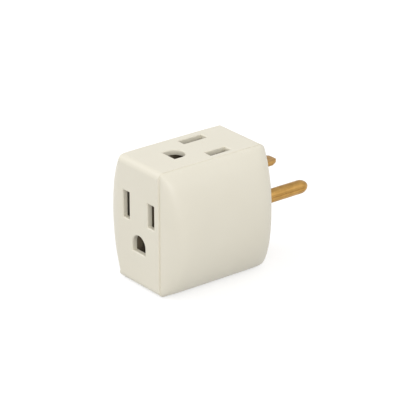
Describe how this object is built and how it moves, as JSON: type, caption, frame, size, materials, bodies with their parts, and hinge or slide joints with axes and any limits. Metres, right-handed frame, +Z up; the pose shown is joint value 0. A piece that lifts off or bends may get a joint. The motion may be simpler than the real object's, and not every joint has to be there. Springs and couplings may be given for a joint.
{
  "type": "cube outlet adapter",
  "caption": "Cube-shaped wall adapter with a grounded plug at the back, grounded outlets on the front, top and bottom, and bulging sides.",
  "frame": {"origin": "middle of the bottom face, which the adapter stands on", "axes": "+X to the right seen from the front outlet, +Y from the front outlet to the plug, +Z up"},
  "size_m": [0.0374, 0.0627, 0.0418],
  "materials": {
    "ivory": "satin",
    "holder": "satin",
    "plug_brass": "rolled and slightly dull",
    "bus_bronze": "rolled strip",
    "contact_bronze": "rolled strip",
    "fibre": "dull",
    "rivet_brass": "bright"
  },
  "bodies": {
    "root": {"outlet_core": "ivory", "left_cover": "ivory", "right_cover": "ivory", "pin_holder": "holder", "hot_blade": "plug_brass", "neutral_blade": "plug_brass", "ground_pin": "plug_brass", "hot_bus": "bus_bronze", "neutral_bus": "bus_bronze", "ground_bus": "bus_bronze", "front_hot_contact": "contact_bronze", "front_neutral_contact": "contact_bronze", "front_ground_contact": "contact_bronze", "top_hot_contact": "contact_bronze", "top_neutral_contact": "contact_bronze", "top_ground_contact": "contact_bronze", "bottom_hot_contact": "contact_bronze", "bottom_neutral_contact": "contact_bronze", "bottom_ground_contact": "contact_bronze", "hot_barrier": "fibre", "neutral_barrier": "fibre", "hot_rivet": "rivet_brass", "neutral_rivet": "rivet_brass", "ground_rivet": "rivet_brass"}
  },
  "joints": []
}
